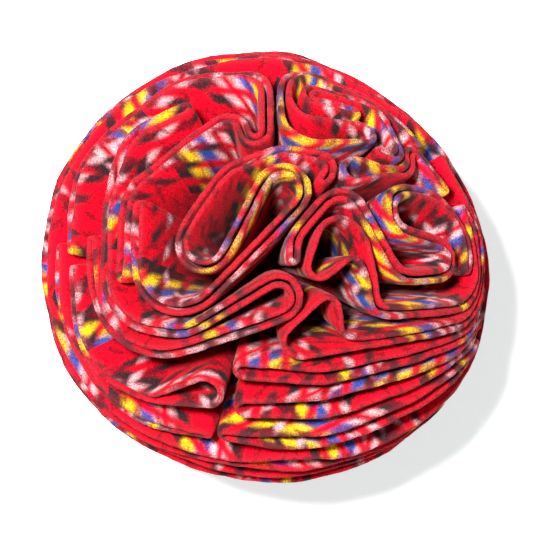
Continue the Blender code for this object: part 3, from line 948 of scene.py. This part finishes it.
# %% Helpers for the fleece
def join(tree, socket, value):
    """Set a plain value on a socket, or link another node's output to it."""
    if isinstance(value, bpy.types.NodeSocket):
        tree.links.new(value, socket)
    elif value is not None:
        socket.default_value = value


def maths(tree, operation, first, second=None, third=None, label=""):
    node = add_node(tree, "ShaderNodeMath", label, operation=operation)
    for socket, value in zip(node.inputs, (first, second, third)):
        join(tree, socket, value)
    return node.outputs[0]


def noise(tree, label, place, scale, detail):
    node = add_node(tree, "ShaderNodeTexNoise", label)
    set_values(node, {"Scale": scale, "Detail": detail})
    tree.links.new(place, node.inputs["Vector"])
    return node


def stretched(tree, label, value, source, target, kind="SMOOTHSTEP"):
    """Turn values from one range into another."""
    node = add_node(tree, "ShaderNodeMapRange", label, interpolation_type=kind)
    set_values(node, {"From Min": source[0], "From Max": source[1], "To Min": target[0], "To Max": target[1]})
    tree.links.new(value, node.inputs["Value"])
    return node.outputs[0]


def blended(tree, label, share, first, second):
    """Mix two colours; a share of 0 gives the first and 1 the second."""
    node = add_node(tree, "ShaderNodeMix", label, data_type="RGBA")
    tree.links.new(share, node.inputs["Factor"])
    join(tree, node.inputs[6], first)
    join(tree, node.inputs[7], second)
    return node.outputs[2]


def scaled(tree, label, colour, size):
    node = add_node(tree, "ShaderNodeVectorMath", label, operation="SCALE")
    tree.links.new(colour, node.inputs[0])
    join(tree, node.inputs["Scale"], size)
    return node.outputs[0]


print("helpers ready: maths, noise, stretched, blended, scaled")

# %% [markdown]
# ## Weave the print
# As in woven cloth, a slanted twill line chooses between the warp's colour and the weft's. On top lie
# loose dark dashes, longer than they are wide, where the ground's pile is turned over.

# %% Weave the print
PRINT_DRIFT = 0.7
DRIFT_SCALE = 420.0
TWILL_STEP = 7.6
ROOT_TWO = 1.414
DASH_WIDTH = 3.0
DASH_LENGTH = 7.5
DASH_SLANT_DEG = 38.0
DASH_COLOUR = (0.13, 0.004, 0.010, 1.0)


def drifted(tree, place, on_cloth):
    """The place on the cloth, moved a little here and there, as no print is ever quite even."""
    drift = noise(tree, "print drift", place, DRIFT_SCALE, 1.0)
    centred = add_node(tree, "ShaderNodeVectorMath", "centre the drift", operation="SUBTRACT")
    centred.inputs[1].default_value = (0.5, 0.5, 0.5)
    tree.links.new(drift.outputs["Color"], centred.inputs[0])
    small = scaled(tree, "small drift", centred.outputs[0], PRINT_DRIFT * MM / CLOTH_SHEET)
    moved = add_node(tree, "ShaderNodeVectorMath", "drifted place", operation="ADD")
    tree.links.new(on_cloth, moved.inputs[0])
    tree.links.new(small, moved.inputs[1])
    return moved.outputs[0]


def woven_print(tree, moved):
    """Colour where warp and weft cross."""
    axes = add_node(tree, "ShaderNodeSeparateXYZ", "across and along")
    tree.links.new(moved, axes.inputs[0])
    colours = []
    for label, axis, row in (("warp", "X", WARP), ("weft", "Y", WEFT)):
        spread = maths(tree, "MULTIPLY", axes.outputs[axis], CLOTH_SHEET / (SETT_WIDTH * MM),
                       label=label + " in repeats")
        position = maths(tree, "FRACT", spread, label=label + " place in the sett")
        colours.append(thread_ramp(tree, label + " stripes", position, row))
    slant = maths(tree, "ADD", axes.outputs["X"], axes.outputs["Y"], label="twill slant")
    per_sheet = 2.0 * math.pi * CLOTH_SHEET / (TWILL_STEP * ROOT_TWO * MM)
    stepped = maths(tree, "MULTIPLY", slant, per_sheet, label="twill step")
    wave = maths(tree, "SINE", stepped, label="twill wave")
    twill = stretched(tree, "twill", wave, (-0.8, 1.1), (0.0, 1.0))
    return blended(tree, "woven", twill, colours[0], colours[1])


def loose_dashes(tree, moved, colour):
    """Darken the colour along slanted dashes of uneven noise."""
    slanted = add_node(tree, "ShaderNodeMapping", "slanted dashes")
    slanted.inputs["Rotation"].default_value = (0.0, 0.0, math.radians(DASH_SLANT_DEG))
    slanted.inputs["Scale"].default_value = (
        CLOTH_SHEET / (DASH_WIDTH * MM), CLOTH_SHEET / (DASH_LENGTH * MM), 1.0)
    tree.links.new(moved, slanted.inputs["Vector"])
    dashes = noise(tree, "loose dashes", slanted.outputs[0], 1.0, 0.5)
    share = stretched(tree, "dash share", dashes.outputs[0], (0.48, 0.72), (0.0, 0.72))
    return blended(tree, "hatched", share, colour, DASH_COLOUR)


print("twill line every", TWILL_STEP, "mm, dashes of", DASH_WIDTH, "by", DASH_LENGTH, "mm")

# %% [markdown]
# ## The fleece
# Fleece is a napped knit, so it has no shine but a soft halo from its fibres: high roughness, a little
# constant sheen and a fine fuzzy bump. The pile mottles the print. The cut edge is a little darker and
# speckled, with some light fluff. Deep in the pockets the colour is painted darker, as painted shade
# for the shade that falls there.

# %% Make the fleece
SPOT_COLOUR = (0.12, 0.012, 0.016, 1.0)
FLUFF_COLOUR = (0.66, 0.13, 0.16, 1.0)
EDGE_DIMMING = -0.14
# Painted shade: how much darker the colour is made deep in the pockets.
POCKET_PAINTED_SHADE = -0.62
SPECKLE_SCALE = 2100.0
PILE_SCALE = 1700.0
FUZZ_STRENGTH = 0.26
FUZZ_HEIGHT = 0.0008


def cut_edge_look(tree, place, colour):
    """Dimmer, spotted and a little fluffy at the cut edge; painted shade deep in the pockets."""
    rim = add_node(tree, "ShaderNodeAttribute", "cut edge", attribute_name="cut_edge").outputs["Fac"]
    # Depth in the pockets, read for the painted shade.
    shade_depth_share = add_node(tree, "ShaderNodeAttribute", "painted shade depth", attribute_name="painted_pocket_shade").outputs["Fac"]
    edge_dim = maths(tree, "MULTIPLY_ADD", rim, EDGE_DIMMING, 1.0, "dimmer at the cut edge")
    # Painted shade: the colour darkens deep in the pockets, where shade falls.
    pocket_shade_dim = maths(tree, "MULTIPLY", shade_depth_share, POCKET_PAINTED_SHADE, label="painted shade deep in the pockets")
    edge_dim_and_painted_shade = maths(tree, "ADD", edge_dim, pocket_shade_dim, label="cut edge dim and painted pocket shade")
    dimmed = scaled(tree, "cut edge dim and pocket shade painted", colour, edge_dim_and_painted_shade)
    speckle = noise(tree, "speckle", place, SPECKLE_SCALE, 1.0).outputs[0]
    spots = stretched(tree, "dark spots", speckle, (0.38, 0.60), (0.0, 0.75))
    fluff = stretched(tree, "light fluff", speckle, (0.56, 0.30), (0.0, 0.10))
    spot_share = maths(tree, "MULTIPLY", rim, spots, label="spots on the cut edge")
    fluff_share = maths(tree, "MULTIPLY", rim, fluff, label="fluff on the cut edge")
    spotted = blended(tree, "edged", spot_share, dimmed, SPOT_COLOUR)
    return blended(tree, "fluffy", fluff_share, spotted, FLUFF_COLOUR)


def tartan_fleece(name):
    """The whole material, from the print on the flat cloth to the fuzz of the pile."""
    made = bpy.data.materials.new(name)
    made.use_nodes = True
    tree = made.node_tree
    shader = tree.nodes["Principled BSDF"]
    set_values(shader, {
        "Roughness": 0.92,
        "Specular IOR Level": 0.04,
        "Sheen Weight": 0.06,
        "Sheen Roughness": 0.4,
        "Sheen Tint": (1.0, 0.5, 0.5, 1.0)})
    on_cloth = add_node(tree, "ShaderNodeUVMap", "place on the flat cloth", uv_map="flat_cloth").outputs["UV"]
    place = add_node(tree, "ShaderNodeTexCoord", "place on the ball").outputs["Object"]
    moved = drifted(tree, place, on_cloth)
    printed = loose_dashes(tree, moved, woven_print(tree, moved))
    pile = noise(tree, "pile", place, PILE_SCALE, 2.0).outputs[0]
    tint = stretched(tree, "pile light and dark", pile, (0.34, 0.66), (0.48, 1.36), "LINEAR")
    mottled = scaled(tree, "mottled", printed, tint)
    tree.links.new(cut_edge_look(tree, place, mottled), shader.inputs["Base Color"])
    bump = add_node(tree, "ShaderNodeBump", "fuzz")
    set_values(bump, {"Strength": FUZZ_STRENGTH, "Distance": FUZZ_HEIGHT})
    tree.links.new(pile, bump.inputs["Height"])
    tree.links.new(bump.outputs[0], shader.inputs["Normal"])
    return made


fleece = tartan_fleece("red_tartan_fleece")
print("the fleece has", len(fleece.node_tree.nodes), "nodes")

# %% [markdown]
# ## All the discs
# The discs round the crown are made finest. Those round the belt and under the ball are made the same
# way with wider steps. Each disc stands for its solid and rides on the ball. The size of its flat cut
# is worked out too: a whole disc where the whole rim shows, or the part of one that does.

PRINT_LAY = {
    "long_loop": (-24.0, -30.0, 6.0, 0.0),
    "broad_petal": (-30.0, 50.0, 48.0, 18.0),
    "first_band": (65.0, -35.0, 41.9, 20.0),
    "hook_and_swirl": (7.8, 37.9, 21.3, 30.0),
    "arch_and_teardrop": (48.9, 20.5, 21.3, 26.0),
    "far_petal": (15.0, 50.0, 21.3, 20.0),
    "low_pocket": (8.0, -22.0, 44.0, 6.0),
    "second_band": (60.0, -45.0, 20.0, 2.0),
    "corner_pocket": (-30.0, -50.0, 10.0, 14.0)}


NEARLY_WHOLE = 1.9 * math.pi


def flat_cut(rim_length):
    """Width, length and area of the flat piece, in metres: a disc, or the part of one, less its middle."""
    turn = min(rim_length / BALL_RADIUS, 2.0 * math.pi)
    radius = max(rim_length / (2.0 * math.pi), BALL_RADIUS)
    if turn > math.pi:
        width = 2.0 * radius
        length = radius - radius * math.cos(turn / 2.0) if turn < NEARLY_WHOLE else width
    else:
        width = 2.0 * radius * math.sin(turn / 2.0)
        length = radius - HUB_RADIUS * math.cos(turn / 2.0)
    area = rim_length * (BALL_RADIUS ** 2 - HUB_RADIUS ** 2) / (2.0 * BALL_RADIUS)
    return width * MM, length * MM, area * MM * MM


total_area = 0.0
for index, (name, (curve, lift)) in enumerate(rims.items()):
    fine = name.startswith("top_")
    short = name.replace("top_", "").replace("under_", "")
    any_lay = (BALL_RADIUS * math.cos(index), BALL_RADIUS * math.sin(index), 5.0 * index, 11.0 * index)
    made, rim_length = cloth_disc(name, curve, lift, CHORD_ERROR_TOP if fine else CHORD_ERROR_HIDDEN,
                                  LONGEST_STEP_TOP if fine else LONGEST_STEP_HIDDEN,
                                  PRINT_LAY.get(short, any_lay))
    made.data.materials.append(fleece)
    width, length, area = flat_cut(rim_length)
    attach(made, "root")
    stands_for = [name]
    if name.endswith(SLIT_DISC):
        stands_for = [name.replace(SLIT_DISC, half) for half in SLIT_BODIES]
    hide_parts(*stands_for)
    total_area += area
print("cloth that shows, square metres:", round(total_area, 3))

# %% [markdown]
# ## The tied middle
# At the bottom of every pocket the discs are drawn together by the tie. It is a crowded knot of cloth,
# almost black in the shade, so a ball with gathered pleats is enough.

# %% Gather the middle
PLEATS = 24.0
PLEAT_DEPTH = 0.018
PLEAT_INSET = 0.02

mesh = bmesh.new()
bmesh.ops.create_uvsphere(mesh, u_segments=96, v_segments=48, radius=(high.x - low.x) / 2)
for vert in mesh.verts:
    bearing = math.atan2(vert.co.y, vert.co.x)
    height = vert.co.z / (high.z - low.z) * 2.0
    pleat = math.sin(PLEATS * bearing + 3.0 * height) * (1.0 - height * height)
    vert.co *= 1.0 - PLEAT_INSET - PLEAT_DEPTH * pleat
bmesh.ops.translate(mesh, verts=mesh.verts[:], vec=BALL_MIDDLE)
for face in mesh.faces:
    face.smooth = True
middle = mesh_object("gathered_middle", mesh)
print("tied middle, mm across:", round((high.x - low.x) * 1000, 1))

# %% [markdown]
# ## The shade in the middle
# So little light gets down to the knot that only two dark reds are needed, mottled by noise. The knot
# is a lump of squeezed cloth.

MOTTLING_SCALE = 700.0
shade = bpy.data.materials.new("shaded_fleece")
shade.use_nodes = True
tree = shade.node_tree
shader = tree.nodes["Principled BSDF"]
shader.inputs["Roughness"].default_value = 0.95
place = add_node(tree, "ShaderNodeTexCoord", "place on the ball").outputs["Object"]
ramp = add_node(tree, "ShaderNodeValToRGB", "dark reds")
ramp.color_ramp.elements[0].color = (0.10, 0.004, 0.008, 1.0)
ramp.color_ramp.elements[1].color = (0.30, 0.008, 0.015, 1.0)
tree.links.new(noise(tree, "nap", place, MOTTLING_SCALE, 2.0).outputs[0], ramp.inputs["Fac"])
tree.links.new(ramp.outputs["Color"], shader.inputs["Base Color"])
middle.data.materials.append(shade)
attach(middle, "root")
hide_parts("tied_middle")
print("nodes in the dark fleece:", len(tree.nodes))
